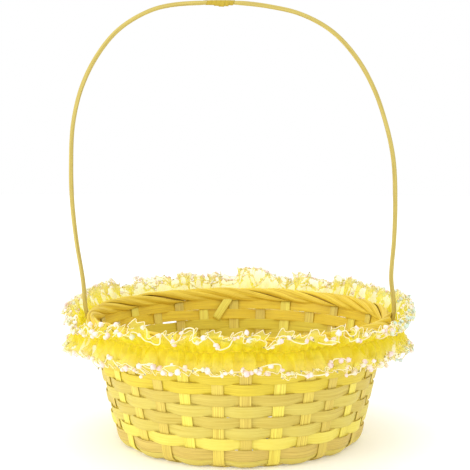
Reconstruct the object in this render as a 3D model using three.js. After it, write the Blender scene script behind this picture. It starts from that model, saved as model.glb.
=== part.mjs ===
// Round woven splint basket: a plaited base whose splits turn up as the wall's stakes, woven rows,
// a rolled rim, a tall fixed cane handle and a gathered ribbon trim with beaded edges.
// Millimetres, +Z up. The basket stands on z = 0 with its axis on the Z axis, handle in the XZ plane.
import * as THREE from 'three';

const { degToRad } = THREE.MathUtils;

// Splits and strips
const stakeCount = 30; // upright split ends round the wall
const stakeAngle = (2 * Math.PI) / stakeCount;
const splitWidth = 9;
const splitThickness = 0.9;
const stripThickness = 0.8; // the strips woven between the stakes
const clearance = 0.3; // between pieces that touch on the real basket
const flatMargin = 0.6; // how far a strip runs flat beyond a stake's edge
const weaveOffset = (splitThickness + stripThickness) / 2 + clearance;

// Plaited mat in the middle of the base
const matPitch = 12;
const matSplitsAlongX = 7;
const matSplitsAlongY = 8;
const matLift = (splitThickness + clearance) / 2;
const crossingHalf = splitWidth / 2 + 0.1;
const bendReach = 10; // longest stretch of the bend from mat line to radial line, each way

// Section of base and wall
const baseLevel = weaveOffset + stripThickness / 2; // middle of the splits above the floor
const cornerStart = 95.8; // radius where the base begins to turn up
const cornerRadius = 9;
const cornerSteps = 4;
const wallFlare = degToRad(12.3); // lean of the wall from upright
const cornerTurn = Math.PI / 2 - wallFlare;
const cornerLength = cornerRadius * cornerTurn;

// Woven rows, placed along the section
const baseRows = 4;
const baseRowWidth = 9.2;
const baseRowPitch = 9.8;
const wallRows = 10;
const wallRowWidth = 8.8;
const wallRowPitch = 9.3;
const wallRowStart = 107; // where the lowest wall row begins, at the end of the corner's curve

// Rolled rim
const rimBands = 15;
const rimBandThickness = 0.9;
const rimCentre = wallRowStart + wallRows * wallRowPitch + 4.6;
const rimCoreHalf = { out: 1.3, up: 3.9 };
const rimBandGap = 0.8; // room between the core hoop and the bands wrapped over it
const rimReach = rimCoreHalf.up + rimBandGap + rimBandThickness; // from the rim's middle to its lowest point
const splitTop = rimCentre - rimReach - 0.6; // the stakes' upper ends

// Handle
const caneRadius = 1.7;
const handleStakes = [0, stakeCount / 2]; // the stakes that the handle's feet run down beside
const lowestHandleRow = 8;
const spliceX = -16.5;
const spliceLength = 21;

// Gathered trim
const ribbonThickness = 1.4;
const ringSegments = 36;

const palette = {
  split: { color: 0xe3c552, roughness: 0.62 },
  strip: { color: 0xf2dd62, roughness: 0.55 },
  baseStrip: { color: 0xd9bb62, roughness: 0.65 },
  rim: { color: 0xe6c440, roughness: 0.55 },
  cane: { color: 0xcdb65a, roughness: 0.5 },
  binding: { color: 0xc2a136, roughness: 0.6 },
  organza: { color: 0xf2d93a, roughness: 0.4 },
  thread: { color: 0xfff3cf, roughness: 0.35 },
};

const basket = new THREE.Group();

function addPiece(name, geometry, finish) {
  const material = new THREE.MeshStandardMaterial({ ...palette[finish], metalness: 0 });
  const mesh = new THREE.Mesh(geometry, material);
  mesh.name = name;
  basket.add(mesh);
}

// Middle surface of base and wall at a distance along it from the centre: radius, height, the
// direction that leads on along the section and the direction that faces out of the basket.
function sectionAt(along) {
  const turn = THREE.MathUtils.clamp((along - cornerStart) / cornerRadius, 0, cornerTurn);
  const level = Math.min(along, cornerStart);
  const rise = Math.max(0, along - cornerStart - cornerLength);
  return {
    r: level + cornerRadius * Math.sin(turn) + rise * Math.cos(turn),
    z: baseLevel + cornerRadius * (1 - Math.cos(turn)) + rise * Math.sin(turn),
    on: { r: Math.cos(turn), z: Math.sin(turn) },
    out: { r: Math.sin(turn), z: -Math.cos(turn) },
  };
}

// A point at an angle round the basket, moved sideways along the tangent.
function aroundPoint(angle, r, z, side = 0) {
  const c = Math.cos(angle);
  const s = Math.sin(angle);
  return new THREE.Vector3(r * c - side * s, r * s + side * c, z);
}

function surfacePoint(angle, along, offset, side = 0) {
  const { r, z, out } = sectionAt(along);
  return aroundPoint(angle, r + out.r * offset, z + out.z * offset, side);
}

function spread(from, to, spans) {
  return Array.from({ length: spans + 1 }, (_, n) => from + ((to - from) * n) / spans);
}

// A thin sheet through stations, each with the same number of points on its outer and inner face.
// Closed sheets join their last station to the first; open ones get end faces.
function sheetGeometry(stations, closed = false) {
  const across = stations[0].outer.length;
  const ring = 2 * across;
  const points = stations.flatMap(({ outer, inner }) => [...outer, ...[...inner].reverse()]);
  const index = [];
  const quad = (a, b, c, d) => {
    // along its shorter diagonal, so that both faces of a slanting sheet bend the same way
    if (points[a].distanceTo(points[c]) < points[b].distanceTo(points[d])) index.push(a, b, c, a, c, d);
    else index.push(a, b, d, b, c, d);
  };
  for (let n = 0; n < stations.length - (closed ? 0 : 1); n++) {
    const here = n * ring;
    const next = ((n + 1) % stations.length) * ring;
    for (let m = 0; m < ring; m++) {
      const after = (m + 1) % ring;
      quad(here + m, here + after, next + after, next + m);
    }
  }
  if (!closed) {
    const last = (stations.length - 1) * ring;
    for (let m = 0; m < across - 1; m++) {
      const back = ring - 1 - m;
      quad(m, back, back - 1, m + 1);
      quad(last + m, last + m + 1, last + back - 1, last + back);
    }
  }
  if (signedVolume(points, index) < 0) index.reverse();
  return new THREE.BufferGeometry().setFromPoints(points).setIndex(index);
}

function signedVolume(points, index) {
  let volume = 0;
  const normal = new THREE.Vector3();
  for (let n = 0; n < index.length; n += 3) {
    const [a, b, c] = [points[index[n]], points[index[n + 1]], points[index[n + 2]]];
    volume += normal.crossVectors(b, c).dot(a);
  }
  return volume;
}

// ---- splits: flat through the mat, bent to a radial line, turned up as two stakes ----

// A station of a flat split lying level, with its heading in plan.
function levelStation(centre, heading, level) {
  const side = new THREE.Vector2(-heading.y, heading.x).multiplyScalar(splitWidth / 2);
  const face = (z) => [
    new THREE.Vector3(centre.x - side.x, centre.y - side.y, z),
    new THREE.Vector3(centre.x + side.x, centre.y + side.y, z),
  ];
  return { outer: face(level - splitThickness / 2), inner: face(level + splitThickness / 2) };
}

// From the mat's edge out along a radial line and up the wall. The split's place in its set gives
// both its distance from the middle line, in pitches, and its angle, in stakes.
function outwardHalf(place, bearing, matEdge) {
  const angle = place * stakeAngle;
  const lateral = place * matPitch;
  const meet = new THREE.Vector2(place === 0 ? matEdge + bendReach : lateral / Math.tan(angle), lateral);
  const reach = Math.min(bendReach, meet.x - matEdge - 0.5);
  const start = new THREE.Vector2(meet.x - reach, meet.y);
  const radial = new THREE.Vector2(Math.cos(angle), Math.sin(angle));
  const bend = new THREE.QuadraticBezierCurve(start, meet, meet.clone().addScaledVector(radial, reach));
  const turned = (v) => v.clone().rotateAround(new THREE.Vector2(), bearing);
  const stations = [0, 0.5, 1].map((t) =>
    levelStation(turned(bend.getPoint(t)), turned(bend.getTangent(t)), baseLevel));
  const half = splitWidth / 2;
  const rising = [...spread(cornerStart, cornerStart + cornerLength, cornerSteps), splitTop];
  for (const along of rising) {
    const face = (offset) => [-half, half].map((side) =>
      surfacePoint(bearing + angle, along, offset, side));
    stations.push({ outer: face(splitThickness / 2), inner: face(-splitThickness / 2) });
  }
  return stations;
}

const flip = ({ outer, inner }) => ({ outer: [...outer].reverse(), inner: [...inner].reverse() });

function splitGeometry(place, order, bearing, crossings) {
  const matEdge = ((crossings - 1) / 2) * matPitch + crossingHalf;
  const heading = new THREE.Vector2(Math.cos(bearing), Math.sin(bearing));
  const towards = outwardHalf(-place, bearing + Math.PI, matEdge).reverse().map(flip);
  const through = [];
  for (let n = 0; n < crossings; n++) {
    const over = (n + order) % 2 === 0 ? matLift : -matLift;
    const middle = (n - (crossings - 1) / 2) * matPitch;
    for (const edge of [-crossingHalf, crossingHalf]) {
      const centre = new THREE.Vector2(middle + edge, place * matPitch);
      centre.rotateAround(new THREE.Vector2(), bearing);
      through.push(levelStation(centre, heading, baseLevel + over));
    }
  }
  return sheetGeometry([...towards, ...through, ...outwardHalf(place, bearing, matEdge)]);
}

function addSplits(axis, bearing, count, crossings) {
  for (let n = 0; n < count; n++) {
    const place = n - (count - 1) / 2;
    addPiece(`base_split_${axis}${n + 1}`, splitGeometry(place, n, bearing, crossings), 'split');
  }
}

addSplits('x', 0, matSplitsAlongX, matSplitsAlongY);
addSplits('y', Math.PI / 2, matSplitsAlongY, matSplitsAlongX);

// ---- woven rows ----

// How far the handle's foot stands off the wall's middle surface.
function footOffset(along) {
  const foot = rowMiddle(lowestHandleRow);
  const rise = THREE.MathUtils.clamp((along - foot) / (rimCentre - foot), 0, 1);
  return THREE.MathUtils.lerp(2.9, 5.4, rise * rise);
}

function rowMiddle(row) {
  return wallRowStart + (row - 0.5) * wallRowPitch;
}

function rowGeometry(from, to, spans, offsetAt) {
  const halfFlat = splitWidth / 2 + flatMargin;
  const stations = [];
  for (let stake = 0; stake < stakeCount; stake++) {
    const middle = offsetAt(stake);
    for (const side of [-halfFlat, halfFlat]) {
      const face = (offset) => spread(from, to, spans).map((along) =>
        surfacePoint(stake * stakeAngle, along, offset, side));
      stations.push({
        outer: face(middle + stripThickness / 2),
        inner: face(middle - stripThickness / 2),
      });
    }
  }
  return sheetGeometry(stations, true);
}

function addBaseRows() {
  for (let row = 1; row <= baseRows; row++) {
    const middle = wallRowStart - baseRowPitch / 2 - (baseRows - row) * baseRowPitch;
    const outside = (stake) => (stake + row + baseRows) % 2 === 1;
    const offsetAt = (stake) => (outside(stake) ? weaveOffset : -weaveOffset);
    const spans = row === baseRows ? 3 : 1; // the last base row runs into the corner
    const [from, to] = [middle - baseRowWidth / 2, middle + baseRowWidth / 2];
    addPiece(`base_row_${row}`, rowGeometry(from, to, spans, offsetAt), 'baseStrip');
  }
}

function addWallRows() {
  for (let row = 1; row <= wallRows; row++) {
    const middle = rowMiddle(row);
    const from = middle - wallRowWidth / 2;
    const to = Math.min(middle + wallRowWidth / 2, rimCentre - rimReach - clearance); // under the rim
    const overFoot = footOffset(to) + caneRadius + clearance + stripThickness / 2 + 0.2;
    const offsetAt = (stake) => {
      if ((stake + row) % 2 === 1) return -weaveOffset;
      return handleStakes.includes(stake) && row >= lowestHandleRow ? overFoot : weaveOffset;
    };
    addPiece(`wall_row_${row}`, rowGeometry(from, to, row === 1 ? 3 : 1, offsetAt), 'strip');
  }
}

addBaseRows();
addWallRows();

// ---- rolled rim: a core hoop with slanting bands wrapped over it from outside to inside ----

// A point on the rim's oval section, grown by an offset; turn 0 faces out, a quarter turn is the top.
function rimPoint(angle, turn, grow) {
  const { r, z, on, out } = sectionAt(rimCentre);
  const n = (rimCoreHalf.out + grow) * Math.cos(turn);
  const h = (rimCoreHalf.up + grow) * Math.sin(turn);
  return aroundPoint(angle, r + out.r * n + on.r * h, z + out.z * n + on.z * h);
}

function rimCoreGeometry() {
  const corners = 6;
  const section = Array.from({ length: corners + 1 }, (_, n) => {
    const point = rimPoint(0, (2 * Math.PI * n) / corners, 0);
    return new THREE.Vector2(point.x, point.z);
  });
  return new THREE.LatheGeometry(section, ringSegments).rotateX(Math.PI / 2);
}

// A band leans back against the direction round the basket as it turns over the rim.
function rimBandGeometry(number) {
  const pitch = (2 * Math.PI) / rimBands;
  const pitchTurn = degToRad(150); // how far a band turns over the rim in one pitch
  const halfWidth = pitch * (degToRad(67) / pitchTurn);
  const stations = spread(degToRad(-75), degToRad(255), 8).map((turn) => {
    const middle = (number - turn / pitchTurn) * pitch;
    const face = (grow) => spread(middle - halfWidth, middle + halfWidth, 3)
      .map((angle) => rimPoint(angle, turn, grow));
    return { outer: face(rimBandGap + rimBandThickness), inner: face(rimBandGap) };
  });
  return sheetGeometry(stations);
}

addPiece('rim_core_hoop', rimCoreGeometry(), 'rim');
for (let number = 1; number <= rimBands; number++) {
  addPiece(`rim_band_${number}`, rimBandGeometry(number), 'rim');
}

// ---- handle: two canes that meet under a binding at the top, feet pushed down beside a stake ----

// Middle line of the handle above the rim, from left to right, in the XZ plane.
const archPoints = [
  [-134.5, 135.5], [-139.5, 168], [-143, 207], [-143.2, 232], [-140.5, 270.5], [-134, 296], [-122, 321],
  [-102, 345.5], [-75, 361.5], [-25, 368], [25.5, 364.5], [50.5, 358.5], [76, 345], [99, 320.5],
  [113, 295.5], [122, 270.5], [129, 241], [131.5, 203.5], [131, 170], [129, 140],
];

function handleCurve() {
  const footStops = [rimCentre, rowMiddle(wallRows), rowMiddle(wallRows - 1), rowMiddle(lowestHandleRow) - 3];
  const right = footStops.map((along) => surfacePoint(0, along, footOffset(along)));
  const left = [...right].reverse().map(({ x, z }) => new THREE.Vector3(-x, 0, z));
  const free = archPoints.map(([x, z]) => new THREE.Vector3(x, 0, z));
  return new THREE.CatmullRomCurve3([...left, ...free, ...right], false, 'centripetal');
}

class Stretch extends THREE.Curve {
  constructor(whole, from, to) {
    super();
    Object.assign(this, { whole, from, to });
  }

  getPoint(t, target = new THREE.Vector3()) {
    return this.whole.getPointAt(THREE.MathUtils.lerp(this.from, this.to, t), target);
  }
}

// Where along the handle, from 0 to 1, its middle line passes a given x near the top.
function placeAtX(curve, x) {
  let [low, high] = [0.3, 0.7];
  for (let n = 0; n < 30; n++) {
    const middle = (low + high) / 2;
    if (curve.getPointAt(middle).x < x) low = middle;
    else high = middle;
  }
  return low;
}

function caneGeometry(curve, from, to) {
  const round = new THREE.Shape().absarc(0, 0, caneRadius, 0, 2 * Math.PI);
  const extrudePath = new Stretch(curve, from, to);
  return new THREE.ExtrudeGeometry(round, { steps: 44, curveSegments: 3, extrudePath });
}

function bindingGeometry(curve, from, to) {
  const sides = 10;
  const across = new THREE.Vector3(0, 1, 0);
  const stations = Array.from({ length: sides }, (_, n) => {
    const turn = (2 * Math.PI * n) / sides;
    const face = (radius) => spread(from, to, 4).map((t) => {
      const up = curve.getTangentAt(t).cross(across);
      return curve.getPointAt(t)
        .addScaledVector(across, radius * Math.cos(turn))
        .addScaledVector(up, radius * Math.sin(turn));
    });
    const bore = (caneRadius + clearance) / Math.cos(Math.PI / sides);
    return { outer: face(bore + 0.8), inner: face(bore) };
  });
  return sheetGeometry(stations, true);
}

const handle = handleCurve();
const spliceAt = placeAtX(handle, spliceX);
const spliceHalf = spliceLength / 2 / handle.getLength();
const buttHalf = clearance / 2 / handle.getLength();
addPiece('handle_cane_left', caneGeometry(handle, 0, spliceAt - buttHalf), 'cane');
addPiece('handle_cane_right', caneGeometry(handle, spliceAt + buttHalf, 1), 'cane');
addPiece('splice_binding', bindingGeometry(handle, spliceAt - spliceHalf, spliceAt + spliceHalf), 'binding');

// ---- trim: a ribbon gathered on a thread round the rim, open outwards, with beaded edges ----

const gather = { r: 134.5, z: 99.5 };
const upperEdge = { r: 146.5, z: 118 };
const lowerEdge = { r: 143.5, z: 79.5 };

function ribbonGeometry() {
  const middle = new THREE.CatmullRomCurve3([
    new THREE.Vector3(lowerEdge.r, 0, lowerEdge.z),
    new THREE.Vector3(gather.r + 3.5, 0, gather.z - 10),
    new THREE.Vector3(gather.r, 0, gather.z),
    new THREE.Vector3(gather.r + 3.5, 0, gather.z + 9),
    new THREE.Vector3(upperEdge.r, 0, upperEdge.z),
  ]);
  const face = (offset) => spread(0, 1, 4).map((t) => {
    const point = middle.getPoint(t);
    const tangent = middle.getTangent(t);
    return new THREE.Vector2(point.x + tangent.z * offset, point.z - tangent.x * offset);
  });
  const outer = face(ribbonThickness / 2);
  const inner = face(-ribbonThickness / 2);
  const section = [...outer, ...inner.reverse(), outer[0].clone()];
  return new THREE.LatheGeometry(section, ringSegments).rotateX(Math.PI / 2);
}

function threadGeometry(r, z, radius) {
  return new THREE.TorusGeometry(r, radius, 5, ringSegments).translate(0, 0, z);
}

const gatherThreadRadius = 0.7;
const edgeThreadRadius = 1.3;
const outsideRibbon = ribbonThickness / 2 + clearance;
const clearOfEdge = edgeThreadRadius + 0.6;
addPiece('ruffle_ribbon', ribbonGeometry(), 'organza');
addPiece('gather_thread',
  threadGeometry(gather.r + outsideRibbon + gatherThreadRadius + 0.4, gather.z, gatherThreadRadius), 'thread');
addPiece('upper_bead_thread',
  threadGeometry(upperEdge.r + clearOfEdge, upperEdge.z + clearOfEdge, edgeThreadRadius), 'thread');
addPiece('lower_bead_thread',
  threadGeometry(lowerEdge.r + clearOfEdge, lowerEdge.z - clearOfEdge, edgeThreadRadius), 'thread');

export default basket;
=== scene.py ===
import math

import bmesh
import bpy
import numpy as np
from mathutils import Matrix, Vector, noise


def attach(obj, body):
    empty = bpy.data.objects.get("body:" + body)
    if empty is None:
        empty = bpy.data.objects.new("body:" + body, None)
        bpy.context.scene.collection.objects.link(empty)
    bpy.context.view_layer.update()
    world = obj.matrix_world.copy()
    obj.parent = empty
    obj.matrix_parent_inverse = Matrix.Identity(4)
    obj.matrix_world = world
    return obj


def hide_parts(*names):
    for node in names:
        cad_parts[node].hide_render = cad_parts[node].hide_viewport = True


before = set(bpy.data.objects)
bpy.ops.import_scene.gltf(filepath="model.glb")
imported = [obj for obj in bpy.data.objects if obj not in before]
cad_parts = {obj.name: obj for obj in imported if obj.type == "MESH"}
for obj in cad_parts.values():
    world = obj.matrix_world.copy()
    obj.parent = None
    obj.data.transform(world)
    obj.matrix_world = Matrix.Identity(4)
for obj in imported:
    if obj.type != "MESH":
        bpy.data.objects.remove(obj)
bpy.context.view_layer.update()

mm = 0.001
tau = 2 * math.pi


# Shader maths: a Link is one output of a node, and arithmetic on it adds Math nodes.
class Link:
    def __init__(self, tree, socket):
        self.tree = tree
        self.socket = socket

    def maths(self, operation, first, second):
        return addNode(self.tree, "ShaderNodeMath", {"operation": operation}, {0: first, 1: second})

    def __add__(self, other):
        return self.maths("ADD", self, other)

    __radd__ = __add__

    def __sub__(self, other):
        return self.maths("SUBTRACT", self, other)

    def __rsub__(self, other):
        return self.maths("SUBTRACT", other, self)

    def __mul__(self, other):
        return self.maths("MULTIPLY", self, other)

    __rmul__ = __mul__


# Adds any node: settings are set first ("stops" are a ramp's), then each socket gets a value or a link.
def addNode(tree, kind, settings, values, output=0):
    node = tree.nodes.new(kind)
    for key, setting in settings.items():
        if key != "stops":
            setattr(node, key, setting)
            continue
        stops = node.color_ramp.elements
        while len(stops) < len(setting):
            stops.new(0.5)
        for stop, (place, shade) in zip(stops, setting):
            stop.position, stop.color = place, (*shade, 1)
    for key, value in values.items():
        if isinstance(value, Link):
            tree.links.new(value.socket, node.inputs[key])
        else:
            node.inputs[key].default_value = value
    return Link(tree, node.outputs[output]) if node.outputs else None


def srgb(*bytes255):
    steps = [b / 255 for b in bytes255]
    return tuple(s / 12.92 if s <= 0.04045 else ((s + 0.055) / 1.055) ** 2.4 for s in steps)


def newTree(name):
    material = bpy.data.materials.new(name)
    material.use_nodes = True
    material.node_tree.nodes.clear()
    return material, material.node_tree


def mixColours(tree, factor, first, second):
    rgba = [c if isinstance(c, Link) else (*c, 1) for c in (first, second)]
    settings = {"data_type": "RGBA"}
    return addNode(tree, "ShaderNodeMix", settings, {0: factor, 6: rgba[0], 7: rgba[1]}, 2)


def finishMaterial(tree, values):
    shader = addNode(tree, "ShaderNodeBsdfPrincipled", {}, values)
    addNode(tree, "ShaderNodeOutputMaterial", {}, {"Surface": shader})
    return shader


# Noise over the piece's own grain map: x runs along the piece in decimetres, y across it from 0 to 1.
def grainNoise(tree, along, across, seed, detail=3, rough=0.55):
    grain = addNode(tree, "ShaderNodeUVMap", {"uv_map": "grain"}, {})
    place = addNode(tree, "ShaderNodeMapping", {}, {
        "Vector": grain, "Location": (seed * 3.7, seed * 1.9, 0), "Scale": (along, across, 1)})
    values = {"Vector": place, "Scale": 1, "Detail": detail, "Roughness": rough}
    return addNode(tree, "ShaderNodeTexNoise", {"noise_dimensions": "2D"}, values)


def bambooMaterial(name, look, seed=0):
    material, tree = newTree(name)
    fibres = grainNoise(tree, 1.6, look.get("fibres", 26), seed)
    fine = grainNoise(tree, 5, 75, seed + 11, 2)
    patches = grainNoise(tree, 7, 1.6, seed + 23, 2)
    stain = addNode(tree, "ShaderNodeValToRGB", {"stops": [(0.55, (0, 0, 0)), (0.78, (1, 1, 1))]},
                    {"Fac": grainNoise(tree, 4, 5, seed + 37, 4)})
    streak = addNode(tree, "ShaderNodeValToRGB", {"stops": [(0.34, (0, 0, 0)), (0.62, (1, 1, 1))]},
                     {"Fac": 0.65 * fibres + 0.35 * fine})
    body = mixColours(tree, streak, look["dark"], look["light"])
    body = mixColours(tree, patches * look.get("patch", 0.5), body, look["patchColour"])
    body = mixColours(tree, 0.3 * stain, body, look["dark"])
    height = 0.7 * fibres + 0.3 * fine
    bump = addNode(tree, "ShaderNodeBump", {}, {"Height": height, "Strength": 0.5, "Distance": 0.00035})
    finishMaterial(tree, {
        "Base Color": body, "Roughness": 0.42 + 0.2 * fibres, "Normal": bump,
        "Specular IOR Level": 0.35})
    return material


# The light and the camera.
camera = {
    "away": 1.0, "height": 0.275, "tilt": 5.81, "turn": 3.0, "aside": -0.0035, "lens": 90.6,
}


def makeCamera():
    turn = math.radians(camera["turn"])
    right = Vector((math.cos(turn), math.sin(turn), 0))
    place = Vector((math.sin(turn), -math.cos(turn), 0)) * camera["away"] + right * camera["aside"]
    place.z = camera["height"]
    target = right * camera["aside"]
    target.z = camera["height"] - camera["away"] * math.tan(math.radians(camera["tilt"]))
    data = bpy.data.cameras.new("camera")
    data.lens, data.sensor_width, data.clip_end = camera["lens"], 36, 20
    made = bpy.data.objects.new("camera", data)
    made.location = place
    made.rotation_euler = (target - place).to_track_quat("-Z", "Y").to_euler()
    bpy.context.collection.objects.link(made)
    bpy.context.scene.camera = made


studio = {
    "world": 1.0,
    "floorSize": 6.0,
    "lamps": {  # place, size and power of each soft box; all face the basket
        "key": ((-1.8, -1.3, 0.7), 1.2, 14.5),
        "fill": ((1.1, -1.6, 1.1), 1.4, 2.5),
        "floor": ((-0.2, 0.1, 2.4), 2.0, 9.5),
    },
}


def makeStudio():
    world = bpy.data.worlds.new("studio")
    bpy.context.scene.world = world
    world.use_nodes = True
    backdrop = world.node_tree.nodes["Background"]
    backdrop.inputs["Color"].default_value = (1, 1, 1, 1)
    backdrop.inputs["Strength"].default_value = studio["world"]
    for name, (place, size, power) in studio["lamps"].items():
        data = bpy.data.lights.new(name, "AREA")
        data.size, data.energy = size, power
        lamp = bpy.data.objects.new(name, data)
        lamp.location = place
        lamp.rotation_euler = (Vector((0, 0, 0.12)) - Vector(place)).to_track_quat("-Z", "Y").to_euler()
        bpy.context.collection.objects.link(lamp)
    half = studio["floorSize"] / 2
    mesh = bpy.data.meshes.new("floor")
    corners = [(-half, -half, 0), (half, -half, 0), (half, half, 0), (-half, half, 0)]
    mesh.from_pydata(corners, [], [(0, 1, 2, 3)])
    floor = bpy.data.objects.new("floor", mesh)
    bpy.context.collection.objects.link(floor)
    material, tree = newTree("pale_floor")
    finishMaterial(tree, {
        "Base Color": (0.97, 0.97, 0.97, 1), "Roughness": 0.9, "Specular IOR Level": 0.1,
        "Emission Color": (1, 1, 1, 1), "Emission Strength": 0.14})
    mesh.materials.append(material)
    bpy.context.scene.view_settings.view_transform = "Standard"


makeCamera()
makeStudio()
print("camera and studio are ready")


# Meshes.
# A skin over a grid of points (rows, columns, 3). A closed way joins its last line to its first; grain
# has one more line than the points along each closed way. Open rows of a closed section get end faces.
def skinMesh(name, points, grain, closedRows, closedColumns, material):
    rows, columns = points.shape[:2]
    lastRow = rows if closedRows else rows - 1
    lastColumn = columns if closedColumns else columns - 1
    r, c = np.meshgrid(np.arange(lastRow), np.arange(lastColumn), indexing="ij")
    r2, c2 = (r + 1) % rows, (c + 1) % columns
    quads = np.stack([r * columns + c, r * columns + c2, r2 * columns + c2, r2 * columns + c], -1)
    faces = quads.reshape(-1, 4).tolist()
    corners = np.stack([grain[r, c], grain[r, c + 1], grain[r + 1, c + 1], grain[r + 1, c]], 2)
    uvs = corners.reshape(-1, 2)
    if closedColumns and not closedRows:  # end faces, as strips across the section
        for row, flip in ((0, False), (rows - 1, True)):
            for n in range(columns // 2 - 1):
                far = columns - 1 - n
                ids = [n, far, far - 1, n + 1]
                ids = ids[::-1] if flip else ids
                faces.append([row * columns + i for i in ids])
                uvs = np.concatenate([uvs, grain[row, ids]])
    mesh = bpy.data.meshes.new(name)
    mesh.from_pydata(points.reshape(-1, 3).tolist(), [], faces)
    layer = mesh.uv_layers.new(name="grain")
    layer.data.foreach_set("uv", uvs.astype(np.float32).ravel())
    mesh.shade_smooth()
    mesh.materials.append(material)
    return addPiece(name, mesh, closedColumns)


def addPiece(name, mesh, solid):
    if solid:  # faces point out
        shape = bmesh.new()
        shape.from_mesh(mesh)
        if shape.calc_volume(signed=True) < 0:
            bmesh.ops.reverse_faces(shape, faces=shape.faces)
        shape.to_mesh(mesh)
        shape.free()
    piece = bpy.data.objects.new(name, mesh)
    bpy.context.collection.objects.link(piece)
    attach(piece, "root")
    return piece


# A smooth wobble round a circle, from -1 to 1, made of whole waves.
def wobble(angle, seed, slowest, fastest):
    rng = np.random.default_rng(seed)
    waves = np.arange(slowest, fastest + 1)
    phases = rng.uniform(0, tau, len(waves))
    sizes = rng.uniform(0.4, 1, len(waves))
    total = (np.sin(np.multiply.outer(angle, waves) + phases) * sizes).sum(-1)
    return total / np.sqrt((sizes**2).sum()) / 1.6


def smooth(x):
    x = np.clip(x, 0, 1)
    return x * x * (3 - 2 * x)


# The section of a thin strip: places across from -1 to 1, and the thickness there, thinner at its edges.
def stripSection(count=9):
    across = np.sin(np.linspace(-math.pi / 2, math.pi / 2, count))
    return across, 1 - 0.5 * np.abs(across) ** 8


# A solid strip from its middle surface (rows, across, 3), the normals there and its thickness.
def stripMesh(name, middle, normals, thickness, taper, lengths, closed, material):
    half = (normals * (thickness / 2 * taper)[None, :, None])
    points = np.concatenate([middle + half, (middle - half)[:, ::-1]], 1)
    count = middle.shape[1]
    across = np.linspace(0, 1, count)
    ys = np.concatenate([across, across[::-1] + 1.3, [across[0]]])
    rows = np.append(lengths, lengths[-1] + (lengths[-1] - lengths[-2])) if closed else lengths
    grain = np.stack(np.meshgrid(rows * 10, ys, indexing="ij"), -1)
    return skinMesh(name, points, grain, closed, True, material)


# The weave's plan.
weave = {
    "stakes": 30,
    "splitWidth": 9.0 * mm,
    "splitThick": 0.9 * mm,
    "stripThick": 0.8 * mm,
    "clearance": 0.3 * mm,
    "flatMargin": 0.6 * mm,
    "cornerStart": 95.8 * mm,
    "cornerRadius": 9.0 * mm,
    "flare": math.radians(12.3),
    "stakeLean": math.radians(0.9),  # how far a stake's top strays from its even place
    "rimAbove": 4.6 * mm,  # the rim's centre is this far above the last row
    "stakeShort": 5.6 * mm,  # and the stakes end this far below it
}
stakeAngle = tau / weave["stakes"]
weaveOffset = (weave["splitThick"] + weave["stripThick"]) / 2 + weave["clearance"]
baseLevel = weaveOffset + weave["stripThick"] / 2
cornerTurn = math.pi / 2 - weave["flare"]
cornerLength = weave["cornerRadius"] * cornerTurn
stakeStray = np.random.default_rng(5).uniform(-1, 1, weave["stakes"]) * weave["stakeLean"]
stakeStray[[0, 15]] = 0  # the handle's stakes stand true


# Middle surface of base and wall: radius, height, and the outward direction in radius and height.
def sectionAt(along):
    turn = np.clip((along - weave["cornerStart"]) / weave["cornerRadius"], 0, cornerTurn)
    rise = np.maximum(0, along - weave["cornerStart"] - cornerLength)
    r = np.minimum(along, weave["cornerStart"]) + weave["cornerRadius"] * np.sin(turn) + rise * np.cos(turn)
    z = baseLevel + weave["cornerRadius"] * (1 - np.cos(turn)) + rise * np.sin(turn)
    return r, z, np.sin(turn), -np.cos(turn)


def roundPoint(angle, r, z):
    return np.stack(np.broadcast_arrays(r * np.cos(angle), r * np.sin(angle), z), -1)


def wallPoint(angle, along, offset):
    r, z, outR, outZ = sectionAt(along)
    return roundPoint(angle, r + outR * offset, z + outZ * offset)


def wallNormal(angle, along):
    _, _, outR, outZ = sectionAt(along)
    return roundPoint(angle, outR, outZ + 0 * angle)


# How far stakes stray from even spacing at a distance up the section: none in the base, all at the rim.
def strayShare(along):
    return smooth((along - weave["cornerStart"]) / (60 * mm))


# Woven rows.
rowTones = {
    "tan": {"dark": srgb(184, 150, 68), "light": srgb(228, 203, 112), "patchColour": srgb(213, 193, 92)},
    "lemon": {"dark": srgb(227, 205, 74), "light": srgb(240, 229, 113), "patchColour": srgb(238, 221, 97)},
    "straw": {"dark": srgb(193, 166, 66), "light": srgb(220, 203, 103), "patchColour": srgb(211, 187, 85)},
    "yellow": {"dark": srgb(201, 176, 65), "light": srgb(226, 211, 105), "patchColour": srgb(219, 203, 108)},
    "gold": {"dark": srgb(201, 172, 37), "light": srgb(234, 214, 69), "patchColour": srgb(228, 208, 75)},
    "amber": {"dark": srgb(214, 176, 33), "light": srgb(248, 219, 58), "patchColour": srgb(228, 200, 82)},
}
rows = {
    "wallStart": 107.0 * mm,
    "wallPitch": 9.3 * mm,
    "wallWidth": 9.5 * mm,
    "wallTones": ["tan", "lemon", "yellow", "straw", "yellow", "straw", "gold", "gold", "amber", "amber"],
    "basePitch": 9.8 * mm,
    "baseWidth": 9.3 * mm,
    "baseTones": ["straw", "tan", "straw", "yellow"],
    "stepsPerStake": 10,
    "topRaise": 0.35 * mm,  # the top row is tucked up under the rim
    "crown": 0.14 * mm,
    "belly": 0.3 * mm,  # how far a strip swells out in the middle of its long outer stretch
    "handleRow": 8,  # from this row up, strips pass over the handle's feet
}


def rowMiddle(row):
    return rows["wallStart"] + (row - 0.5) * rows["wallPitch"]


# How far the handle's foot stands off the wall's middle surface.
def footOffset(along):
    foot = rowMiddle(rows["handleRow"])
    rise = np.clip((along - foot) / (rimCentre - foot), 0, 1)
    return handle["footStart"] + handle["footSpread"] * rise**2


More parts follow.
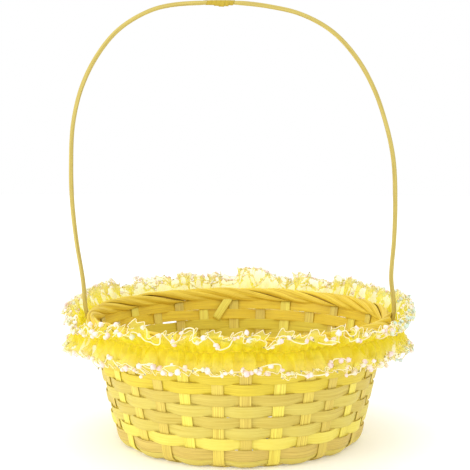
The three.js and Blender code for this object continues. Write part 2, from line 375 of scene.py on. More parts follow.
# The strip's distance from the wall's middle surface: out over one stake, in behind the next. Only the
# wall's strips swell; the base lies flat on the floor.
def weaveWave(angle, along, radius, outsideAt, overFoot, swell):
    strays = np.append(stakeStray, stakeStray[0])
    stray = np.interp(angle / stakeAngle, np.arange(weave["stakes"] + 1), strays)
    place = (angle - stray * strayShare(along)) / stakeAngle
    stake = np.round(place).astype(int)
    fromStake = (place - stake) * stakeAngle * radius
    flat = weave["splitWidth"] / 2 + weave["flatMargin"]
    toNext = stakeAngle * radius - 2 * flat
    ramp = np.clip((np.abs(fromStake) - flat) / toNext, 0, 0.5)
    ramp = 0.6 * ramp + 0.4 * smooth(ramp)

    def level(number):
        number = number % weave["stakes"]
        out = np.where(number % (weave["stakes"] // 2) == 0, overFoot, weaveOffset)
        return np.where((number + outsideAt) % 2 == 0, out, -weaveOffset)

    here, beside = level(stake), level(stake + np.sign(place - stake).astype(int))
    belly = swell * rows["belly"] * np.cos(np.clip(place - stake, -0.5, 0.5) * math.pi) ** 2
    return here + (beside - here) * ramp + np.where(here > 0, belly, 0)


# Where rows part a little and the light comes through: row, angle in degrees, half-width, lift.
rowGaps = [
    (8, 143, 5, -1.1), (9, 143, 5, 0.8), (8, 126, 7, -1.0), (9, 126, 7, 0.8), (8, 31, 5, -1.5),
    (9, 31, 5, 1.2), (7, 46, 7, -2.6), (8, 46, 7, 1.6), (7, 33, 4, -1.7),
    (3, 348, 5, 0.5), (4, 348, 5, 0.9), (8, 250, 6, -0.4),
]


def rowLift(row, angle):
    lift = 0.22 * mm * wobble(angle, 40 + row, 2, 7)
    for gapRow, middle, halfWidth, size in rowGaps:
        if gapRow == row:
            off = (np.degrees(angle) - middle + 180) % 360 - 180
            lift = lift + size * mm * np.exp(-((off / halfWidth) ** 2))
    return lift


def makeRow(name, middle, width, tone, seed, outsideAt, overFoot, lift):
    steps = weave["stakes"] * rows["stepsPerStake"]
    angle = np.arange(steps) * tau / steps
    across, taper = stripSection()
    halfWidth = width / 2 * (1 + 0.035 * wobble(angle, seed, 3, 17))
    along = middle + lift[:, None] + halfWidth[:, None] * across
    radius = sectionAt(np.array(middle))[0]
    swell = 1 if middle > rows["wallStart"] else 0
    wave = weaveWave(angle, middle, radius, outsideAt, overFoot, swell)
    crown = swell * rows["crown"] * (1 - across**2)
    lean = swell * 0.2 * mm * wobble(angle, seed + 1, 2, 9)
    offset = wave[:, None] + crown + lean[:, None] * across
    grid = angle[:, None] + 0 * along
    material = bambooMaterial(name, rowTones[tone], seed)
    lengths = angle * radius
    piece = stripMesh(name, wallPoint(grid, along, offset), wallNormal(grid, along), weave["stripThick"],
                      taper, lengths, True, material)
    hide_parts(name)


def makeRows():
    steps = weave["stakes"] * rows["stepsPerStake"]
    angle = np.arange(steps) * tau / steps
    for row, tone in enumerate(rows["wallTones"], 1):
        top = rowMiddle(row) + rows["wallWidth"] / 2
        overFoot = weaveOffset
        if row >= rows["handleRow"]:
            overFoot = footOffset(top) + (handle["radius"] + 0.9 * mm)
        lift = rowLift(row, angle) * (0.3 if row == 1 else 1)
        if row == len(rows["wallTones"]):
            lift = 0.5 * lift + rows["topRaise"]
        makeRow(f"wall_row_{row}", rowMiddle(row), rows["wallWidth"], tone, row, row % 2, overFoot, lift)
    count = len(rows["baseTones"])
    for row, tone in enumerate(rows["baseTones"], 1):
        middle = rows["wallStart"] - rows["basePitch"] / 2 - (count - row) * rows["basePitch"]
        makeRow(f"base_row_{row}", middle, rows["baseWidth"], tone, 20 + row, (row + count + 1) % 2,
                weaveOffset, 0 * angle)


# Splits: mat, bend, stakes.
splits = {
    "pitch": 12.0 * mm,
    "counts": {"x": 7, "y": 8},
    "bendReach": 10.0 * mm,
    "crossHalf": 4.6 * mm,
    "tones": [
        {"dark": srgb(200, 168, 66), "light": srgb(250, 233, 112),
         "patchColour": srgb(226, 205, 90), "fibres": 18},
        {"dark": srgb(210, 180, 62), "light": srgb(255, 246, 114),
         "patchColour": srgb(247, 232, 98), "fibres": 16},
        {"dark": srgb(188, 154, 62), "light": srgb(243, 222, 110),
         "patchColour": srgb(215, 195, 90), "fibres": 20},
    ],
}
rimCentre = rows["wallStart"] + len(rows["wallTones"]) * rows["wallPitch"] + weave["rimAbove"]
splitTop = rimCentre - weave["stakeShort"]


def turned(x, y, bearing):
    c, s = math.cos(bearing), math.sin(bearing)
    return x * c - y * s, x * s + y * c


# Stations from the mat's edge to the stake's top: middle, side direction and outward normal of each.
def outwardHalf(place, bearing, matEdge):
    angle, lateral = place * stakeAngle, place * splits["pitch"]
    meet = matEdge + splits["bendReach"] if place == 0 else lateral / math.tan(angle)
    reach = min(splits["bendReach"], meet - matEdge - 0.5 * mm)
    stations = []
    for t in np.linspace(0, 1, 9):
        x = meet - reach * (1 - t) ** 2 + reach * t * t * math.cos(angle)
        y = lateral + reach * t * t * math.sin(angle)
        dx = 2 * reach * ((1 - t) + t * math.cos(angle))
        dy = 2 * reach * t * math.sin(angle)
        size = math.hypot(dx, dy)
        px, py = turned(x, y, bearing)
        hx, hy = turned(dx / size, dy / size, bearing)
        stations.append(((px, py, baseLevel), (-hy, hx, 0), (0, 0, -1)))
    start = math.hypot(meet + reach * math.cos(angle), lateral + reach * math.sin(angle)) + 2 * mm
    stray = stakeStray[round((bearing + angle) / stakeAngle) % weave["stakes"]]
    corner = weave["cornerStart"]
    alongs = [*np.linspace(start, corner, 8)[:-1], *np.linspace(corner, corner + cornerLength, 12)[:-1],
              *np.linspace(corner + cornerLength, splitTop, 26)]
    for along in alongs:
        a = bearing + angle + stray * float(strayShare(along))
        r, z, outR, outZ = (float(v) for v in sectionAt(np.array(along)))
        c, s = math.cos(a), math.sin(a)
        stations.append(((r * c, r * s, z), (-s, c, 0), (outR * c, outR * s, outZ)))
    return stations


def matStations(place, order, bearing, crossings, matEdge):
    lift = (weave["splitThick"] + weave["clearance"]) / 2
    hx, hy = turned(1, 0, bearing)
    stations = []
    for x in np.linspace(-matEdge, matEdge, crossings * 9):
        at = x / splits["pitch"] + (crossings - 1) / 2
        n = min(max(round(at), 0), crossings - 1)
        here = lift if (n + order) % 2 == 0 else -lift
        gap = splits["pitch"] - 2 * splits["crossHalf"]
        past = (abs(at - n) * splits["pitch"] - splits["crossHalf"]) / gap
        edge = (n == 0 and at < 0) or (n == crossings - 1 and at > n)
        share = 0 if edge else float(smooth(np.clip(past, 0, 0.5)))
        px, py = turned(x, place * splits["pitch"], bearing)
        stations.append(((px, py, baseLevel + here * (1 - 2 * share)), (-hy, hx, 0), (0, 0, -1)))
    return stations


def makeSplit(name, place, order, bearing, crossings, tone, seed):
    matEdge = (crossings - 1) / 2 * splits["pitch"] + splits["crossHalf"]
    far = outwardHalf(-place, bearing + math.pi, matEdge)[::-1]
    stations = [(c, tuple(-v for v in s), n) for c, s, n in far]
    stations += matStations(place, order, bearing, crossings, matEdge)
    stations += outwardHalf(place, bearing, matEdge)
    centre, side, normal = (np.array(part, float) for part in zip(*stations))
    across, taper = stripSection(13)
    rng = np.random.default_rng(100 + seed)
    ridges = 0.05 * mm * np.convolve(rng.uniform(-1, 1, len(across) + 2), [0.3, 0.4, 0.3], "valid")
    lengths = np.append(0, np.cumsum(np.linalg.norm(np.diff(centre, axis=0), axis=1)))
    width = weave["splitWidth"] * (1 + 0.03 * np.sin(lengths * 40 + seed))
    middle = centre[:, None] + side[:, None] * (width[:, None] / 2 * across)[..., None]
    middle = middle + normal[:, None] * ridges[None, :, None]
    normals = np.broadcast_to(normal[:, None], middle.shape)
    material = bambooMaterial(name, splits["tones"][tone], seed)
    piece = stripMesh(name, middle, normals, weave["splitThick"], taper, lengths, False, material)
    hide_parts(name)


def makeSplits():
    x, y = splits["counts"]["x"], splits["counts"]["y"]
    for axis, bearing, count, crossings in (("x", 0, x, y), ("y", math.pi / 2, y, x)):
        for n in range(count):
            seed = n + 1 + (40 if axis == "y" else 30)
            place = n - (count - 1) / 2
            makeSplit(f"base_split_{axis}{n + 1}", place, n, bearing, crossings, seed % 3, seed)


looseSplint = {  # a stray splint end inside the back wall, leaning from the rim down to a row
    "from": (math.radians(103.6), 182.0 * mm),
    "to": (math.radians(97.2), 201.5 * mm),
    "inside": 2.6 * mm,
    "width": 7.4 * mm,
    "thick": 0.7 * mm,
    "length": 22.0 * mm,
    "bow": 0.9 * mm,
}


def makeLooseSplint():
    (a0, s0), (a1, s1) = looseSplint["from"], looseSplint["to"]
    t = np.linspace(0, 1, 14)
    angle, along = a0 + (a1 - a0) * t, s0 + (s1 - s0) * t
    across, taper = stripSection(9)
    centre = wallPoint(angle, along, -looseSplint["inside"] + looseSplint["bow"] * np.abs(2 * t - 1) ** 3)
    normal = wallNormal(angle, along)
    ahead = np.gradient(centre, axis=0)
    side = np.cross(normal, ahead)
    side /= np.linalg.norm(side, axis=1, keepdims=True)
    middle = centre[:, None] + side[:, None] * (looseSplint["width"] / 2 * across)[None, :, None]
    normals = np.broadcast_to(normal[:, None], middle.shape)
    lengths = t * looseSplint["length"]
    material = bambooMaterial("loose_splint", splits["tones"][1], 71)
    stripMesh("loose_splint", middle, normals, looseSplint["thick"], taper, lengths, False, material)


# The rolled rim.
rim = {
    "bands": 15,
    "coreOut": 1.3 * mm,
    "coreUp": 3.9 * mm,
    "gap": 0.55 * mm,
    "thick": 0.9 * mm,
    "lobe": 1.3 * mm,  # each band is two stake tips side by side, each a little round
    "pitchTurn": math.radians(150),
    "halfWidth": math.radians(71),
    "lowOutside": math.radians(-75),
    "lowInside": math.radians(255),
    "look": {
        "dark": srgb(196, 154, 24), "light": srgb(249, 223, 82), "patchColour": srgb(238, 208, 64),
        "fibres": 14,
    },
    "coreLook": {"dark": srgb(150, 108, 24), "light": srgb(196, 156, 44)},
}


def rimPoint(angle, turn, grow):
    r, z, outR, outZ = (float(v) for v in sectionAt(np.array(rimCentre)))
    n, h = (rim["coreOut"] + grow) * np.cos(turn), (rim["coreUp"] + grow) * np.sin(turn)
    return roundPoint(angle, r + outR * n - outZ * h, z + outZ * n + outR * h)


def makeRimBand(number):
    rng = np.random.default_rng(300 + number)
    pitch = tau / rim["bands"]
    tip = math.radians(6)
    start = rim["lowOutside"] + tip - rim["halfWidth"]
    end = rim["lowInside"] - tip + rim["halfWidth"]
    centres = np.linspace(start, end, 44)
    angle = (number + rng.uniform(-0.06, 0.06)) * pitch - centres / rim["pitchTurn"] * pitch
    across = np.linspace(-1, 1, 17)
    low = np.maximum(centres - rim["halfWidth"], rim["lowOutside"])
    high = np.minimum(centres + rim["halfWidth"], rim["lowInside"])
    turn = low[:, None] + (high - low)[:, None] * (across + 1) / 2
    # where it is cut off at the tips the places across are still the whole band's
    whole = (turn - centres[:, None]) / rim["halfWidth"]
    lobes = 1 - np.abs(2 * np.abs(whole) - 1) ** 1.9
    fade = smooth((high - low) / math.radians(60))[:, None]
    grow = rim["gap"] + rim["lobe"] * lobes * fade * (1 + 0.15 * rng.uniform(-1, 1))
    grow = grow + 0.35 * mm * np.sin(centres * 1.3 + number)[:, None] * fade
    grid = angle[:, None] + 0 * turn
    inner, outer = rimPoint(grid, turn, grow), rimPoint(grid, turn, grow + rim["thick"])
    middle, normals = (inner + outer) / 2, outer - inner
    normals /= np.linalg.norm(normals, axis=2, keepdims=True)
    lengths = (angle[0] - angle) * 0.125
    name = f"rim_band_{number}"
    material = bambooMaterial(name, rim["look"], 60 + number)
    taper = 1 - 0.4 * np.abs(across) ** 8
    piece = stripMesh(name, middle, normals, rim["thick"], taper, lengths, False, material)
    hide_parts(name)


def makeRim():
    for number in range(1, rim["bands"] + 1):
        makeRimBand(number)
    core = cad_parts["rim_core_hoop"]
    core.data.materials.clear()
    core.data.materials.append(hoopMaterial())


def hoopMaterial():
    material, tree = newTree("rim_core")
    place = addNode(tree, "ShaderNodeTexCoord", {}, {}, "Object")
    tips = addNode(tree, "ShaderNodeTexNoise", {}, {"Vector": place, "Scale": 320, "Detail": 4})
    shade = mixColours(tree, tips, rim["coreLook"]["dark"], rim["coreLook"]["light"])
    bump = addNode(tree, "ShaderNodeBump", {}, {"Height": tips, "Strength": 0.5, "Distance": 0.0005})
    finishMaterial(tree, {"Base Color": shade, "Roughness": 0.5 + 0.25 * tips, "Normal": bump})
    return material


# The handle.
handle = {
    "radius": 1.87 * mm,
    "footStart": 2.9 * mm,  # how far the sharpened foot stands off the wall's middle surface
    "footSpread": 2.5 * mm,  # how much further off it is at the rim
    "arch": [  # middle line above the rim, from left to right: x and height in millimetres
        (-134.5, 135.5), (-139.5, 168), (-143, 207), (-143.2, 232), (-140.5, 270.5), (-134, 296),
        (-122, 321), (-102, 345.5), (-75, 361.5), (-25, 368), (25.5, 364.5), (50.5, 358.5),
        (76, 345), (99, 320.5), (113, 295.5), (122, 270.5), (129, 241), (131.5, 203.5),
        (131, 170), (129, 140),
    ],
    "spliceX": -16.5 * mm,
    "bindingLength": 22.0 * mm,
    "bindingTurns": 6,
    "bindingThick": 0.3 * mm,
    "bindingGap": 0.24 * mm,
    "lump": 1.6 * mm,  # the tucked-in end swells the binding's underside
    "spliceShare": 0.86,  # the canes are shaved to this share of their radius under the binding
    "look": {"dark": srgb(166, 143, 66), "light": srgb(212, 193, 108), "patchColour": srgb(205, 187, 92)},
    "bindingLook": {
        "dark": srgb(160, 130, 26), "light": srgb(204, 180, 58), "patchColour": srgb(190, 164, 44),
    },
}


# A smooth line through points, sampled evenly.
def smoothLine(points, step):
    points = np.array(points, float)
    chord = np.linalg.norm(np.diff(points, axis=0), axis=1)
    slope = np.diff(points, axis=0) / chord[:, None]
    both = (chord[1:] + chord[:-1])[:, None]
    inner = (slope[1:] * chord[:-1, None] + slope[:-1] * chord[1:, None]) / both
    tangents = np.concatenate([slope[:1], inner, slope[-1:]])
    fine = []
    for n in range(len(chord)):
        t = np.linspace(0, 1, 40, endpoint=False)[:, None]
        h = chord[n]
        fine.append((2 * t**3 - 3 * t**2 + 1) * points[n] + (t**3 - 2 * t**2 + t) * h * tangents[n]
                    + (3 * t**2 - 2 * t**3) * points[n + 1] + (t**3 - t**2) * h * tangents[n + 1])
    line = np.concatenate([*fine, points[-1:]])
    run = np.append(0, np.cumsum(np.linalg.norm(np.diff(line, axis=0), axis=1)))
    even = np.linspace(0, run[-1], max(8, int(run[-1] / step)))
    return np.stack([np.interp(even, run, line[:, k]) for k in range(3)], -1)


def handleLine():
    stops = [rimCentre, rowMiddle(10), rowMiddle(9), rowMiddle(8) - 3 * mm]
    right = [wallPoint(np.array(0.0), np.array(s), footOffset(s)) for s in stops]
    left = [np.array((-p[0], 0, p[2])) for p in right[::-1]]
    arch = [np.array((x, 0, z)) * mm for x, z in handle["arch"]]
    return smoothLine([*left, *arch, *right], 2 * mm)


# A tube along a line: its radius may change along it.
def tubeMesh(name, line, radius, sides, material, lie=None):
    tangent = np.gradient(line, axis=0)
    tangent /= np.linalg.norm(tangent, axis=1, keepdims=True)
    up = np.array((0.0, 1.0, 0.0)) if lie is None else lie
    first = np.cross(tangent, up)
    first /= np.linalg.norm(first, axis=1, keepdims=True)
    second = np.cross(tangent, first)
    turn = np.arange(sides) * tau / sides
    ring = first[:, None] * np.cos(turn)[None, :, None] + second[:, None] * np.sin(turn)[None, :, None]
    points = line[:, None] + ring * np.broadcast_to(radius, len(line))[:, None, None]
    lengths = np.append(0, np.cumsum(np.linalg.norm(np.diff(line, axis=0), axis=1)))
    grain = np.stack(np.meshgrid(lengths * 10, np.linspace(0, 1, sides + 1), indexing="ij"), -1)
    return skinMesh(name, points, grain, False, True, material)


def makeHandle():
    line = handleLine()
    apex = int(np.argmin(np.where(line[:, 2] > 0.3, np.abs(line[:, 0] - handle["spliceX"]), 9)))
    halves = {"handle_cane_left": line[:apex + 1], "handle_cane_right": line[apex + 1:]}
    for seed, (name, half) in enumerate(halves.items()):
        rng = np.random.default_rng(400 + seed)
        run = np.arange(len(half))
        thick = 1 + 0.03 * np.sin(run * 0.11 + seed) + 0.012 * rng.uniform(-1, 1, len(half))
        foot = run if seed == 0 else run[::-1]
        thick = thick * (0.45 + 0.55 * smooth(foot / 8))  # sharpened foot
        thick = thick * (1 - (1 - handle["spliceShare"]) * smooth((9 - foot[::-1]) / 4))
        material = bambooMaterial(name, handle["look"], 80 + seed)
        piece = tubeMesh(name, half, handle["radius"] * thick, 16, material)
        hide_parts(name)
    makeBinding(line, apex)


# A flat strip wound round the splice, with a tucked-in lump underneath.
def makeBinding(line, apex):
    half = int(handle["bindingLength"] / 2 / (2 * mm)) + 2
    span = line[apex - half:apex + half + 1]
    run = np.linspace(0, 1, len(span))
    wind = np.linspace(0, 1, handle["bindingTurns"] * 28)
    inset = 0.5 - handle["bindingLength"] / 2 / (2 * mm * (len(span) - 1))
    at = inset + wind * (1 - 2 * inset)
    centre = np.stack([np.interp(at, run, span[:, k]) for k in range(3)], -1)
    tangent = np.gradient(centre, axis=0)
    tangent /= np.linalg.norm(tangent, axis=1, keepdims=True)
    across = np.array((0.0, 1.0, 0.0))
    upward = np.cross(tangent, across)
    turn = wind * handle["bindingTurns"] * tau
    radial = upward * np.cos(turn)[:, None] + across * np.sin(turn)[:, None]
    width = handle["bindingLength"] / handle["bindingTurns"] * 1.2
    v, taper = stripSection(7)
    lump = handle["lump"] * np.exp(-((wind - 0.6) / 0.25) ** 2) * np.clip(radial[:, 2] * -1, 0, 1)
    reach = handle["spliceShare"] * handle["radius"] + handle["bindingGap"]
    reach = reach + lump[:, None] + 0.06 * mm * v[None, :]
    sideways = tangent[:, None] * (width / 2 * v)[None, :, None]
    middle = centre[:, None] + radial[:, None] * reach[..., None] + sideways
    normals = np.broadcast_to(radial[:, None], middle.shape)
    material = bambooMaterial("splice_binding", handle["bindingLook"], 90)
    lengths = turn * handle["radius"]
    piece = stripMesh("splice_binding", middle, normals, handle["bindingThick"], taper, lengths, False,
                      material)
    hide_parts("splice_binding")


# The gathered ribbon and its beads.
ruffle = {
    "gather": (134.5 * mm, 99.5 * mm),  # radius and height of the gathering line
    "upper": (145.0 * mm, 117.0 * mm),
    "lower": (144.0 * mm, 79.0 * mm),
    "stand": 5.0 * mm,  # the upper edge stands this much higher at the back and lower at the front
    "droops": [(208, 12.0 * mm), (338, 6.0 * mm), (316, 5.0 * mm)],  # where it droops most, in degrees
    "waves": 46,
    "depth": 5.2 * mm,
    "puffs": 110,
    "puffDepth": 2.3 * mm,
    "fluting": 1.3 * mm,
    "steps": 1900,
    "across": 25,
    "flat": (0.045, 1.5),  # the width and length it was cut to, in metres
    "crumple": 1.4 * mm,
    # the edge colour is painted light: the pale, washed-out look of the ribbon's thin edges with light
    # behind them
    "look": {"deep": srgb(236, 214, 2), "pale": srgb(247, 242, 44), "edge": srgb(255, 252, 190)},
    "glow": (*srgb(250, 240, 50), 1),
}


# The two halves' values: one above the gathering line, one below it.
def bothHalves(upper, above, below):
    return np.where(upper, above, below)


# A point of the ribbon: angle round the basket, and place across it from -1 (lower edge) to 1 (upper).
def ribbonPoint(angle, v):
    upper, size = v >= 0, np.abs(v)
    half = np.where(upper, 1, -1)

    def each(make):
        return bothHalves(upper, make(510), make(530))

    gatherR = ruffle["gather"][0]
    gatherZ = ruffle["gather"][1] + 2.2 * mm * wobble(angle, 549, 3, 15)
    edgeR = bothHalves(upper, ruffle["upper"][0], ruffle["lower"][0])
    front = np.clip(-np.sin(angle), 0, 1)
    degrees = np.degrees(angle) % 360
    droop = sum(drop * np.exp(-(((degrees - middle) / 16) ** 2)) for middle, drop in ruffle["droops"])
    upperZ = ruffle["upper"][1] + ruffle["stand"] * (np.sin(angle) + 0.4 * front) - droop
    edgeZ = bothHalves(upper, upperZ, ruffle["lower"][1] + ruffle["stand"] * front**2)
    phase = ruffle["waves"] * angle + each(lambda seed: 3.2 * wobble(angle, seed, 3, 13))
    depth = ruffle["depth"] * each(lambda seed: 0.85 + 0.6 * wobble(angle, seed + 1, 5, 17)) * size**1.1
    reach = each(lambda seed: 0.94 + 0.2 * wobble(angle, seed + 2, 4, 23))
    fold = np.sin(phase) + 0.35 * np.sin(2.3 * phase + 1.1 * half) + 0.2 * np.sin(4.1 * phase + 0.6)
    steepR, steepZ = edgeR - gatherR, np.abs(edgeZ - gatherZ)
    length = np.hypot(steepR, steepZ)
    r = gatherR + steepR * (size * reach) ** 1.3 + depth * fold * steepZ / length
    z = gatherZ + half * steepZ * (size * reach) ** 0.95 - half * depth * fold * steepR / length
    puffPhase = ruffle["puffs"] * angle + 4 * wobble(angle, 550, 5, 19) + 1.5 * half
    puff = ruffle["puffDepth"] * np.sin(puffPhase)
    r = r + (puff + 1.2 * mm) * np.exp(-(((size - 0.25) / 0.3) ** 2))
    flute = ruffle["fluting"] * size**4 * np.sin(6.3 * phase + 2 * wobble(angle, 552, 11, 60))
    z = z + half * flute
    shift = (-0.7 * depth * np.sin(2 * phase) + flute) / r
    return roundPoint(angle + shift, r, z)


# Smooth noise in three directions at each point, with so many cells to a metre.
def noiseAt(points, cells):
    shifts = [Vector((31.7 * n, 0, 0)) for n in range(3)]
    return np.array([[noise.noise(Vector(p) * cells + shift) for shift in shifts] for p in points])


def makeRibbon():
    angle = np.arange(ruffle["steps"]) * tau / ruffle["steps"]
    v = np.linspace(-1, 1, ruffle["across"])
    points = ribbonPoint(*np.broadcast_arrays(angle[:, None], v[None, :]))
    flatPoints = points.reshape(-1, 3)
    wrinkles, creases = noiseAt(flatPoints, 150), noiseAt(flatPoints, 55)
    edges = np.abs(np.tile(v, len(angle)))[:, None]
    points = flatPoints + (wrinkles + 1.3 * creases) * ruffle["crumple"] * (0.3 + 0.7 * edges)
    points = points.reshape(len(angle), len(v), 3)
    rowsDm = np.append(angle, tau) / tau * ruffle["flat"][1] * 10
    grain = np.stack(np.meshgrid(rowsDm, (v + 1) / 2, indexing="ij"), -1)
    piece = skinMesh("ruffle_ribbon", points, grain, True, False, organzaMaterial())
    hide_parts("ruffle_ribbon")
    return piece, points


def organzaMaterial():
    material, tree = newTree("organza")
    folds = grainNoise(tree, 9, 3, 3, 4)
    weft = grainNoise(tree, 60, 30, 9, 2)
    grain = addNode(tree, "ShaderNodeUVMap", {"uv_map": "grain"}, {})
    across = addNode(tree, "ShaderNodeSeparateXYZ", {}, {0: grain}, 1) - 0.5
    nearEdge = across * across * 4
    colour = mixColours(tree, folds, ruffle["look"]["deep"], ruffle["look"]["pale"])
    # Painted light: towards both edges the cloth is painted pale cream, the washed-out glare of its thin
    # edges lit from behind.
    colour = mixColours(tree, 0.7 * nearEdge, colour, ruffle["look"]["edge"])
    alpha = 0.58 + 0.35 * folds + 0.1 * weft - 0.42 * nearEdge
    bump = addNode(tree, "ShaderNodeBump", {}, {"Height": folds, "Strength": 0.35, "Distance": 0.0006})
    cloth = addNode(tree, "ShaderNodeBsdfPrincipled", {}, {
        "Base Color": colour, "Roughness": 0.3 + 0.2 * weft, "Alpha": alpha, "Normal": bump,
        "Specular IOR Level": 0.5})
    glow = addNode(tree, "ShaderNodeBsdfTranslucent", {}, {"Color": ruffle["glow"]})
    clear = addNode(tree, "ShaderNodeBsdfTransparent", {}, {})
    through = addNode(tree, "ShaderNodeMixShader", {}, {0: alpha, 1: clear, 2: glow})
    both = addNode(tree, "ShaderNodeMixShader", {}, {0: 0.45, 1: cloth, 2: through})
    addNode(tree, "ShaderNodeOutputMaterial", {}, {"Surface": both})
    return material


beading = {
    "sewnRadius": 0.26 * mm,
    "looseRadius": 0.5 * mm,
    "fringeRadius": 0.36 * mm,
    "gatherRadius": 0.3 * mm,
    "swing": 5.0 * mm,
    "outermost": 147.5 * mm,
    "sewnStep": 32.0 * mm,
    "backStep": 0.45,  # beads are this much closer together at the back and the ends
    "backSize": 0.66,
    "loose": {  # half, least and most distance from the gathering line, bead step, first and last degree
        "upper_loose": (1, 0.25, 1.05, 10.0 * mm, 0, 360),
        "lower_loose": (-1, 0.6, 1.2, 7.5 * mm, 0, 360),
        "upper_fringe": (1, 0.7, 1.05, 9.0 * mm, -28, 208),
        "middle_fringe": (1, 0.4, 1.0, 12.0 * mm, -35, 215),
    },
    "sizes": (1.5 * mm, 2.3 * mm),
    "speckShare": 0.22,  # tiny dull sequins between the beads
    "threadLook": (srgb(252, 234, 178), srgb(255, 248, 216)),
    "gatherLook": (srgb(236, 206, 14), srgb(248, 226, 40)),
    "beadLook": [(0.0, srgb(250, 238, 226)), (0.35, srgb(246, 226, 218)), (0.6, srgb(242, 208, 204)),
                 (0.72, srgb(248, 236, 190)), (0.82, srgb(196, 224, 198)), (0.9, srgb(214, 228, 222)),
                 (1.0, srgb(150, 140, 78))],
}


def threadMaterial(name, look):
    material, tree = newTree(name)
    twist = grainNoise(tree, 120, 2, 5, 1)
    shade = mixColours(tree, twist, *look)
    bump = addNode(tree, "ShaderNodeBump", {}, {"Height": twist, "Strength": 0.5, "Distance": 0.0002})
    finishMaterial(tree, {"Base Color": shade, "Roughness": 0.3 + 0.2 * twist, "Normal": bump})
    return material


def beadMaterial():
    material, tree = newTree("bead")
    own = addNode(tree, "ShaderNodeUVMap", {"uv_map": "grain"}, {})
    pick = addNode(tree, "ShaderNodeSeparateXYZ", {}, {0: own})
    shade = addNode(tree, "ShaderNodeValToRGB", {"stops": beading["beadLook"]}, {"Fac": pick})
    place = addNode(tree, "ShaderNodeTexCoord", {}, {}, "Object")
    pearl = addNode(tree, "ShaderNodeTexNoise", {}, {"Vector": place, "Scale": 700, "Detail": 2})
    colour = mixColours(tree, 0.3 * pearl, shade, srgb(255, 250, 240))
    bump = addNode(tree, "ShaderNodeBump", {}, {"Height": pearl, "Strength": 0.3, "Distance": 0.0003})
    finishMaterial(tree, {"Base Color": colour, "Roughness": 0.22 + 0.2 * pearl, "Normal": bump,
                          "Coat Weight": 0.4, "Coat Roughness": 0.15})
    return material


# A thread that swings loosely about one half of the ribbon, in and out of its folds.
def looseLine(half, least, most, seed, start, end):
    turn = math.radians(end - start)
    angle = math.radians(start) + np.arange(1500) * turn / 1500
    v = half * (least + (most - least) * (0.5 + 0.5 * np.clip(1.5 * wobble(angle, seed, 12, 48), -1, 1)))
    line = ribbonPoint(angle + 0.045 * wobble(angle, seed + 2, 9, 38), v)
    outward = np.stack([np.cos(angle), np.sin(angle), 0 * angle], -1)
    line = line + outward * (beading["swing"] * (0.5 + 0.5 * wobble(angle, seed + 1, 17, 60)))[:, None]
    front = np.clip(-np.sin(angle), 0, 1)
    line[:, 2] += beading["swing"] * (0.5 + 0.1 * front) * wobble(angle, seed + 3, 16, 58)
    away = np.hypot(line[:, 0], line[:, 1])
    line[:, :2] *= (np.minimum(away, beading["outermost"]) / away)[:, None]
    return evened(line, 5, end - start == 360)


# Takes the kinks out of a line: each point becomes the mean of its neighbours, the nearest counting most.
def evened(line, reach, closed):
    share = np.hanning(2 * reach + 3)[1:-1]
    padded = np.pad(line, ((reach, reach), (0, 0)), "wrap" if closed else "edge")
    return np.stack([np.convolve(padded[:, k], share / share.sum(), "valid") for k in range(3)], -1)


def ringTube(name, line, radius, material):
    ahead, behind = np.roll(line, -1, 0), np.roll(line, 1, 0)
    tangent = ahead - behind
    tangent /= np.linalg.norm(tangent, axis=1, keepdims=True)
    first = np.cross(tangent, np.array((0.31, 0.17, 0.94)))
    first /= np.linalg.norm(first, axis=1, keepdims=True)
    second = np.cross(tangent, first)
    turn = np.arange(6) * tau / 6
    ring = first[:, None] * np.cos(turn)[None, :, None] + second[:, None] * np.sin(turn)[None, :, None]
    points = line[:, None] + ring * radius
    lengths = np.append(0, np.cumsum(np.linalg.norm(ahead - line, axis=1)))
    grain = np.stack(np.meshgrid(lengths * 10, np.linspace(0, 1, 7), indexing="ij"), -1)
    return skinMesh(name, points, grain, True, True, material)


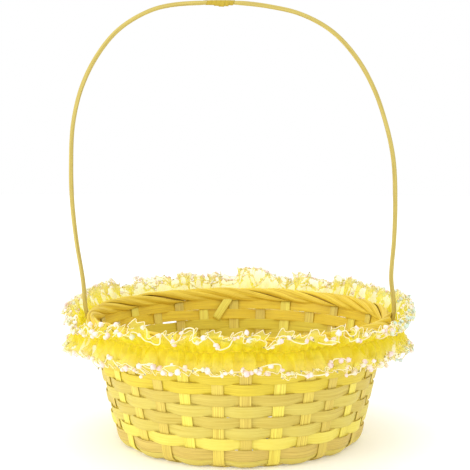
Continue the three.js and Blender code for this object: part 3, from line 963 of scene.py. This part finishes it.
# Beads and sequins strung along a line at uneven steps, joined in one piece. The first grain value picks
# a bead's colour; those at the right-hand end of the basket shimmer green and blue.
def makeBeads(name, line, step, seed, material):
    rng = np.random.default_rng(seed)
    ball = bmesh.new()
    bmesh.ops.create_icosphere(ball, subdivisions=2, radius=1)
    ballPoints = np.array([v.co for v in ball.verts])
    ballFaces = np.array([[v.index for v in f.verts] for f in ball.faces])
    ball.free()
    run = np.append(0, np.cumsum(np.linalg.norm(np.diff(line, axis=0), axis=1)))
    points, faces, picks = [], [], []
    at = 0
    while at < run[-1]:
        centre = np.array([np.interp(at, run, line[:, k]) for k in range(3)])
        front = centre[1] < -0.07
        size, pick = rng.uniform(*beading["sizes"]), rng.uniform(0, 0.78)
        if not front:
            size, pick = size * beading["backSize"], rng.choice([0.05, 0.2, 0.5, 0.74, 0.76])
        if centre[0] > 0.125 and rng.uniform() < 0.5:
            pick = rng.uniform(0.8, 0.92)
        if rng.uniform() < beading["speckShare"]:
            size, pick = 0.42 * size, 1
        lumps = 1 + 0.13 * rng.normal(0, 1, len(ballPoints))[:, None]
        shape = ballPoints * lumps * size * rng.uniform(0.8, 1.15, 3)
        faces.append(ballFaces + len(points) * len(ballPoints))
        points.append(shape + centre + rng.normal(0, 0.6 * mm, 3))
        picks.append((pick, 0.5))
        closer = 1 if front else beading["backStep"]
        at += closer * step * rng.choice([0.3, 0.7, 1.1, 1.8]) * rng.uniform(0.8, 1.2)
    mesh = bpy.data.meshes.new(name)
    mesh.from_pydata(np.concatenate(points).tolist(), [], np.concatenate(faces).tolist())
    layer = mesh.uv_layers.new(name="grain")
    layer.data.foreach_set("uv", np.repeat(np.array(picks, np.float32), 3 * len(ballFaces), 0).ravel())
    mesh.shade_smooth()
    mesh.materials.append(material)
    return addPiece(name, mesh, False)


def makeTrim():
    ribbon, points = makeRibbon()
    area = sum(p.area for p in ribbon.data.polygons)
    print(f"ribbon area {area:.4f} square metres, flat {ruffle['flat'][0] * ruffle['flat'][1]:.4f}")
    thread, bead = threadMaterial("edge_thread", beading["threadLook"]), beadMaterial()
    onRibbon = []
    for half, side in ((1, "upper"), (-1, "lower")):
        sewn = points[:, -1 if half > 0 else 0]
        edge = ringTube(f"{side}_bead_thread", sewn, beading["sewnRadius"], thread)
        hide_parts(f"{side}_bead_thread")
        onRibbon += [edge, makeBeads(f"{side}_edge_beads", sewn, beading["sewnStep"], 600 + half, bead)]
    lie = np.array((0.31, 0.17, 0.94))  # it only sets where the tube's seam runs
    for seed, (name, course) in enumerate(beading["loose"].items(), 620):
        half, least, most, step, start, end = course
        line = looseLine(half, least, most, 7 * seed, start, end)
        if end - start == 360:
            strand = ringTube(f"{name}_thread", line, beading["looseRadius"], thread)
        else:
            radius = beading["fringeRadius"]
            strand = tubeMesh(f"{name}_thread", line, radius, 6, thread, lie)
        onRibbon += [strand, makeBeads(f"{name}_beads", line, step, seed, bead)]
    angle = np.arange(720) * tau / 720
    crease = ribbonPoint(angle, 0 * angle)
    gatherLook = threadMaterial("gather_thread", beading["gatherLook"])
    gather = ringTube("gather_thread", crease, beading["gatherRadius"], gatherLook)
    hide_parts("gather_thread")


makeRows()
print("rows woven")
makeSplits()
makeLooseSplint()
print("splits laid")
makeRim()
print("rim rolled")
makeHandle()
print("handle bent")
makeTrim()
print("ribbon gathered and beaded")
